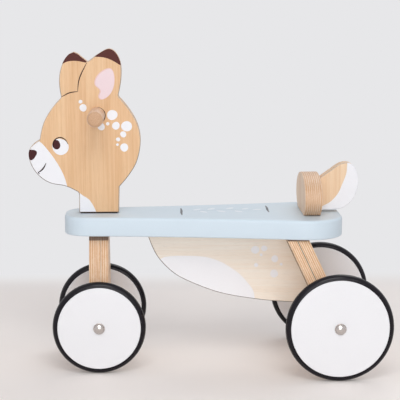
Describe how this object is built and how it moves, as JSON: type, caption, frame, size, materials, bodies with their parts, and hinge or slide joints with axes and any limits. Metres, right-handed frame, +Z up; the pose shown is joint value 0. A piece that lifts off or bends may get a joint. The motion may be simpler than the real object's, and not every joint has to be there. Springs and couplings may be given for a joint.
{
  "type": "child's wooden ride-on animal",
  "caption": "Wooden ride-on fawn: a tapered seat plank with a low backrest and tail on a slanted rear leg, and a flat fawn's head on a handlebar that steers the front axle.",
  "frame": {"origin": "on the floor under the middle of the whole length, in the centre plane", "axes": "+Z up, -X the way the fawn looks and rolls, +X towards its tail, -Y its left side"},
  "size_m": [0.503, 0.2516, 0.4488],
  "materials": {
    "seat_paint": "pale blue satin paint on solid board",
    "plywood": "clear satin lacquer on light plywood, with layered edges",
    "beech": "smooth clear-lacquered dowel",
    "wheel_paint": "white satin paint on a turned wooden disc",
    "tyre_rubber": "soft black rubber, slightly shiny",
    "steel": "plain drawn rod",
    "bright_cap": "bright domed push-on cap",
    "zinc_hardware": "zinc plated",
    "nylon": "natural nylon"
  },
  "bodies": {
    "frame": {"seat_plank": "seat_paint", "belly_plate": "plywood", "rear_leg_front_board": "plywood", "rear_leg_back_board": "plywood", "backrest": "plywood", "tail_plate": "plywood", "steering_bush_upper": "nylon", "steering_bush_lower": "nylon", "rear_axle": "steel", "rear_left_washer": "zinc_hardware", "rear_right_washer": "zinc_hardware", "rear_left_axle_cap": "bright_cap", "rear_right_axle_cap": "bright_cap", "belly_screw_lower": "zinc_hardware", "belly_screw_upper": "zinc_hardware", "backrest_screw_left": "zinc_hardware", "backrest_screw_right": "zinc_hardware", "leg_dowel_left": "beech", "leg_dowel_middle": "beech", "leg_dowel_right": "beech", "belly_dowel_front": "beech", "belly_dowel_rear": "beech", "tail_dowel_lower": "beech", "tail_dowel_upper": "beech"},
    "steering": {"head_plate": "plywood", "handlebar": "beech", "steering_column": "steel", "neck_pin": "zinc_hardware", "leg_pin": "zinc_hardware", "stop_peg": "zinc_hardware", "front_leg_front_board": "plywood", "front_leg_back_board": "plywood", "front_axle": "steel", "front_left_washer": "zinc_hardware", "front_right_washer": "zinc_hardware", "front_left_axle_cap": "bright_cap", "front_right_axle_cap": "bright_cap"},
    "front_left_wheel": {"front_left_wheel_disc": "wheel_paint", "front_left_tyre": "tyre_rubber", "front_left_hub_bush": "nylon"},
    "front_right_wheel": {"front_right_wheel_disc": "wheel_paint", "front_right_tyre": "tyre_rubber", "front_right_hub_bush": "nylon"},
    "rear_left_wheel": {"rear_left_wheel_disc": "wheel_paint", "rear_left_tyre": "tyre_rubber", "rear_left_hub_bush": "nylon"},
    "rear_right_wheel": {"rear_right_wheel_disc": "wheel_paint", "rear_right_tyre": "tyre_rubber", "rear_right_hub_bush": "nylon"}
  },
  "joints": [
    {"name": "steering_turn", "type": "hinge", "parent": "frame", "child": "steering", "pos_m": [-0.15305, 0, 0.2035], "axis": [0, 0, 1], "range_deg": [-40, 40]},
    {"name": "front_left_spin", "type": "hinge", "parent": "steering", "child": "front_left_wheel", "pos_m": [-0.15305, -0.0635, 0.065], "axis": [0, 1, 0], "continuous": true},
    {"name": "front_right_spin", "type": "hinge", "parent": "steering", "child": "front_right_wheel", "pos_m": [-0.15305, 0.0635, 0.065], "axis": [0, 1, 0], "continuous": true},
    {"name": "rear_left_spin", "type": "hinge", "parent": "frame", "child": "rear_left_wheel", "pos_m": [0.17695, -0.113, 0.0745], "axis": [0, 1, 0], "continuous": true},
    {"name": "rear_right_spin", "type": "hinge", "parent": "frame", "child": "rear_right_wheel", "pos_m": [0.17695, 0.113, 0.0745], "axis": [0, 1, 0], "continuous": true}
  ]
}
